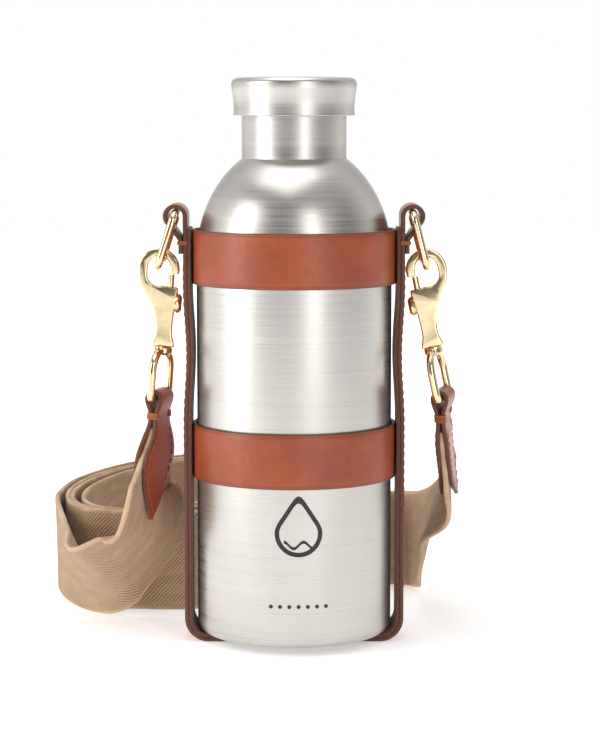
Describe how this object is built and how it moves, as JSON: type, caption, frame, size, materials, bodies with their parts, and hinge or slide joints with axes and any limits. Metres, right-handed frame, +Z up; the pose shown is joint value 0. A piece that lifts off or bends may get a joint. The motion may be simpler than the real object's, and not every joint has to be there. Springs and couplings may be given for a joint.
{
  "type": "canteen",
  "caption": "Insulated steel bottle with a screw lid, standing in a leather carrier with side rings, swivel snap hooks and a rolled webbing shoulder strap.",
  "frame": {"origin": "on the surface that the carrier stands on, under the bottle axis", "axes": "+Z up along the bottle axis, X across the two carrier uprights, the rolled strap behind at +Y and -X"},
  "size_m": [0.1605, 0.2457, 0.2111],
  "materials": {
    "brushed_steel": "satin brushed",
    "inner_steel": "polished",
    "getter_metal": "plain",
    "lid_plastic": "matte moulded",
    "foam": "closed-cell foam",
    "silicone": "matte silicone",
    "leather": "smooth vegetable-tanned, waxed",
    "leather_flesh": "flesh side and dyed edge",
    "thread": "waxed thread",
    "webbing": "twill-woven cotton",
    "gold_metal": "polished pale gold plate",
    "spring_steel": "bright"
  },
  "bodies": {
    "carrier": {"carrier_strap_outer": "leather", "carrier_strap_lining": "leather_flesh", "upper_band": "leather", "lower_band": "leather", "edge_stitching": "thread", "loop_stitching": "thread", "webbing_left_run": "webbing", "webbing_right_run": "webbing", "webbing_back_run": "webbing", "webbing_coil": "webbing"},
    "bottle": {"bottle_outer_shell": "brushed_steel", "bottle_inner_flask": "inner_steel", "bottle_base_cup": "brushed_steel", "vacuum_getter": "getter_metal"},
    "lid_seal": {"lid_gasket": "silicone"},
    "lid": {"lid_shell": "brushed_steel", "lid_plug": "lid_plastic", "lid_insulation": "foam"},
    "left_strap_end": {"left_tab": "leather", "left_tab_stitching": "thread", "left_strap_end": "webbing"},
    "left_swivel_eye": {"left_eye": "gold_metal"},
    "left_snap_hook": {"left_hook": "gold_metal", "left_spring": "spring_steel"},
    "left_hook_bolt": {"left_bolt": "gold_metal"},
    "left_ring_body": {"left_ring": "gold_metal"},
    "right_strap_end": {"right_tab": "leather", "right_tab_stitching": "thread", "right_strap_end": "webbing"},
    "right_swivel_eye": {"right_eye": "gold_metal"},
    "right_snap_hook": {"right_hook": "gold_metal", "right_spring": "spring_steel"},
    "right_hook_bolt": {"right_bolt": "gold_metal"},
    "right_ring_body": {"right_ring": "gold_metal"}
  },
  "joints": [
    {"name": "bottle_lift", "type": "slide", "parent": "carrier", "child": "bottle", "axis": [0, 0, 1], "range_m": [0, 0.17]},
    {"name": "lid_rise", "type": "slide", "parent": "bottle", "child": "lid_seal", "axis": [0, 0, 1], "range_m": [0, 0.012]},
    {"name": "lid_turn", "type": "hinge", "parent": "lid_seal", "child": "lid", "pos_m": [0, 0, 0.2], "axis": [0, 0, 1], "range_deg": [0, 1080]},
    {"name": "left_strap_swing", "type": "hinge", "parent": "carrier", "child": "left_strap_end", "pos_m": [-0.05105, -0.00102, 0.04259], "axis": [-0.274, -0.9615, 0.0216], "range_deg": [0, 3], "deforming": ["webbing_left_run"]},
    {"name": "left_eye_hinge", "type": "hinge", "parent": "left_strap_end", "child": "left_swivel_eye", "pos_m": [-0.05076, 0, 0.09158], "axis": [-0.274, -0.9615, 0.0216], "range_deg": [-3, 0]},
    {"name": "left_swivel", "type": "hinge", "parent": "left_swivel_eye", "child": "left_snap_hook", "pos_m": [-0.04923, 0, 0.11102], "axis": [0.0785, 0, 0.9969], "range_deg": [-25, 25]},
    {"name": "left_bolt_slide", "type": "slide", "parent": "left_snap_hook", "child": "left_hook_bolt", "axis": [-0.0785, 0, -0.9969], "range_m": [0, 0.005], "stiffness_N_per_m": 150, "springref_m": -0.002, "deforming": ["left_spring"]},
    {"name": "left_ring_hinge", "type": "hinge", "parent": "carrier", "child": "left_ring_body", "pos_m": [-0.04402, 0, 0.16], "axis": [0, 1, 0], "range_deg": [0, 7.3]},
    {"name": "right_strap_swing", "type": "hinge", "parent": "carrier", "child": "right_strap_end", "pos_m": [0.05683, 0.00265, 0.04279], "axis": [0.2642, 0.9628, 0.0561], "range_deg": [0, 3], "deforming": ["webbing_right_run"]},
    {"name": "right_eye_hinge", "type": "hinge", "parent": "right_strap_end", "child": "right_swivel_eye", "pos_m": [0.0561, 0, 0.09172], "axis": [0.2642, 0.9628, 0.0561], "range_deg": [-3, 0]},
    {"name": "right_swivel", "type": "hinge", "parent": "right_swivel_eye", "child": "right_snap_hook", "pos_m": [0.05205, 0, 0.11079], "axis": [-0.2079, 0, 0.9781], "range_deg": [-25, 25]},
    {"name": "right_bolt_slide", "type": "slide", "parent": "right_snap_hook", "child": "right_hook_bolt", "axis": [0.2079, 0, -0.9781], "range_m": [0, 0.005], "stiffness_N_per_m": 150, "springref_m": -0.002, "deforming": ["right_spring"]},
    {"name": "right_ring_hinge", "type": "hinge", "parent": "carrier", "child": "right_ring_body", "pos_m": [0.04402, 0, 0.16], "axis": [0, -1, 0], "range_deg": [0, 7.3]}
  ],
  "couplings": [
    {"joint": "lid_rise", "follows": "lid_turn", "m_per_rad": 0.00063662},
    {"joint": "left_eye_hinge", "follows": "left_strap_swing", "ratio": -1},
    {"joint": "left_ring_hinge", "follows": "left_strap_swing", "ratio": 2.42},
    {"joint": "right_eye_hinge", "follows": "right_strap_swing", "ratio": -1},
    {"joint": "right_ring_hinge", "follows": "right_strap_swing", "ratio": 2.42}
  ]
}
